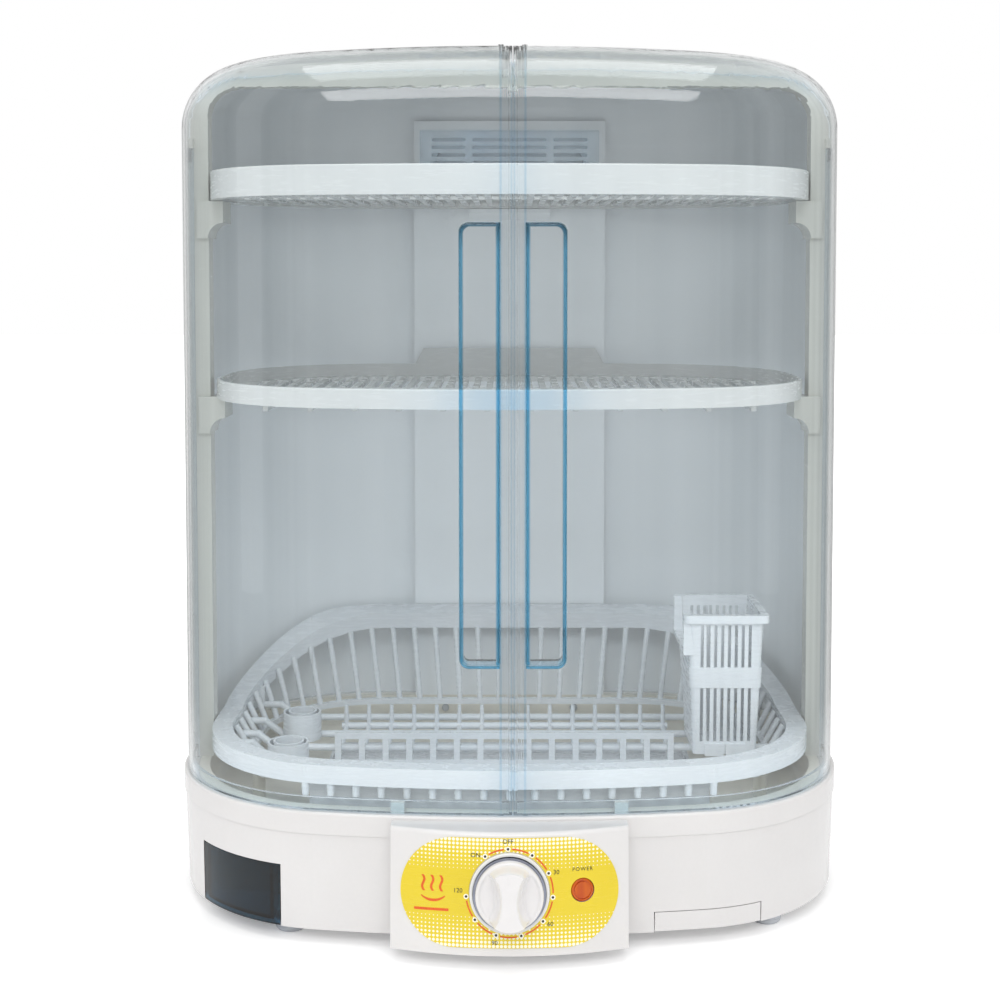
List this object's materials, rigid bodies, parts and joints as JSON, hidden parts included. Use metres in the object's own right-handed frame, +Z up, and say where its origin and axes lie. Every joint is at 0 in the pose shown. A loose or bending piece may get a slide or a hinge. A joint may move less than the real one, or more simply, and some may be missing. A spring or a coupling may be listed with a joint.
{
  "type": "dish drying cabinet",
  "caption": "Upright warm-air dish drying cabinet with clear swing doors, removable tiers, a dish rack, a cutlery basket, a dial timer and a water drawer in the base.",
  "frame": {"origin": "on the floor under the middle of the whole cabinet, the knob and rear duct cover included", "axes": "+Z up, -Y towards the front with its doors and dial, +X to the right seen from the front"},
  "size_m": [0.425, 0.3373, 0.534],
  "materials": {
    "base_plastic": "glossy ivory-white moulded plastic",
    "basin_plastic": "warm off-white moulded plastic",
    "tray_plastic": "grey-white moulded plastic",
    "tier_plastic": "white moulded plastic",
    "rack_plastic": "pale grey moulded plastic",
    "basket_plastic": "pale grey moulded plastic",
    "shell_plastic": "pale grey moulded plastic",
    "frame_plastic": "cream-white moulded plastic",
    "door_clear": "clear blue-tinted moulded plastic",
    "drawer_smoke": "smoke-blue transparent plastic",
    "louvre_clear": "clear blue slotted plastic",
    "label_film": "printed yellow film",
    "white_trim": "white moulded plastic",
    "bright_trim": "bright plated ring",
    "knob_plastic": "white moulded plastic",
    "lens_amber": "amber transparent plastic",
    "lamp": "neon lamp",
    "foot_rubber": "grey rubber",
    "black_plastic": "black moulded plastic",
    "steel": "zinc-plated steel",
    "heater_fins": "bare aluminium fins",
    "heat_plastic": "heat-proof moulded plastic",
    "filter_net": "grey net",
    "grey_rubber": "dark grey rubber"
  },
  "bodies": {
    "base": {"base_housing": "base_plastic", "base_basin": "basin_plastic", "drip_tray": "tray_plastic", "base_bottom_plate": "base_plastic", "feet": "foot_rubber", "foot_screws": "steel", "control_panel": "base_plastic", "panel_label": "label_film", "dial_bezel": "white_trim", "timer_body": "black_plastic", "indicator_lens": "lens_amber", "indicator_lamp": "lamp", "fan_frame": "black_plastic", "fan_motor": "steel", "heater_frame": "heat_plastic", "heater_element": "heater_fins", "thermal_cutout": "steel", "air_plenum": "heat_plastic", "terminal_block": "white_trim", "cord_inlet_bush": "grey_rubber", "rear_shell": "shell_plastic", "duct_cover": "shell_plastic", "duct_cover_screws": "steel", "vent_louvre": "louvre_clear", "front_frame": "frame_plastic", "shelf_brackets": "frame_plastic", "hinge_pins": "steel", "door_catches": "frame_plastic", "basin_screws": "steel"},
    "fan_rotor": {"fan_wheel": "black_plastic", "fan_shaft": "steel"},
    "knob": {"timer_knob": "knob_plastic", "knob_trim_ring": "bright_trim", "timer_shaft": "steel"},
    "door_left": {"left_door": "door_clear"},
    "door_right": {"right_door": "door_clear"},
    "drawer": {"water_drawer": "drawer_smoke"},
    "filter": {"filter_tray": "base_plastic", "filter_mesh": "filter_net"},
    "tray": {"top_tray": "tier_plastic"},
    "shelf": {"middle_shelf": "tier_plastic"},
    "rack": {"dish_rack": "rack_plastic"},
    "basket": {"cutlery_basket": "basket_plastic"}
  },
  "joints": [
    {"name": "fan_spin", "type": "hinge", "parent": "base", "child": "fan_rotor", "pos_m": [0, 0.0972, 0.03], "axis": [0, 0, 1], "continuous": true},
    {"name": "timer_turn", "type": "hinge", "parent": "base", "child": "knob", "pos_m": [0, -0.1472, 0.0442], "axis": [0, -0.9963, 0.0854], "range_deg": [-267, 32]},
    {"name": "left_door_swing", "type": "hinge", "parent": "base", "child": "door_left", "pos_m": [-0.207, -0.0108, 0.28], "axis": [0, 0, 1], "range_deg": [-100, 0]},
    {"name": "right_door_swing", "type": "hinge", "parent": "base", "child": "door_right", "pos_m": [0.207, -0.0108, 0.28], "axis": [0, 0, 1], "range_deg": [0, 100]},
    {"name": "water_drawer_slide", "type": "slide", "parent": "base", "child": "drawer", "axis": [0, -1, 0], "range_m": [0, 0.095]},
    {"name": "filter_slide", "type": "slide", "parent": "base", "child": "filter", "axis": [0, -1, 0], "range_m": [0, 0.1]},
    {"name": "top_tray_lift", "type": "slide", "parent": "base", "child": "tray", "axis": [0, 0, 1], "range_m": [0, 0.02]},
    {"name": "middle_shelf_lift", "type": "slide", "parent": "base", "child": "shelf", "axis": [0, 0, 1], "range_m": [0, 0.04]},
    {"name": "dish_rack_lift", "type": "slide", "parent": "base", "child": "rack", "axis": [0, 0, 1], "range_m": [0, 0.04]},
    {"name": "basket_lift", "type": "slide", "parent": "rack", "child": "basket", "axis": [0, 0, 1], "range_m": [0, 0.06]}
  ]
}
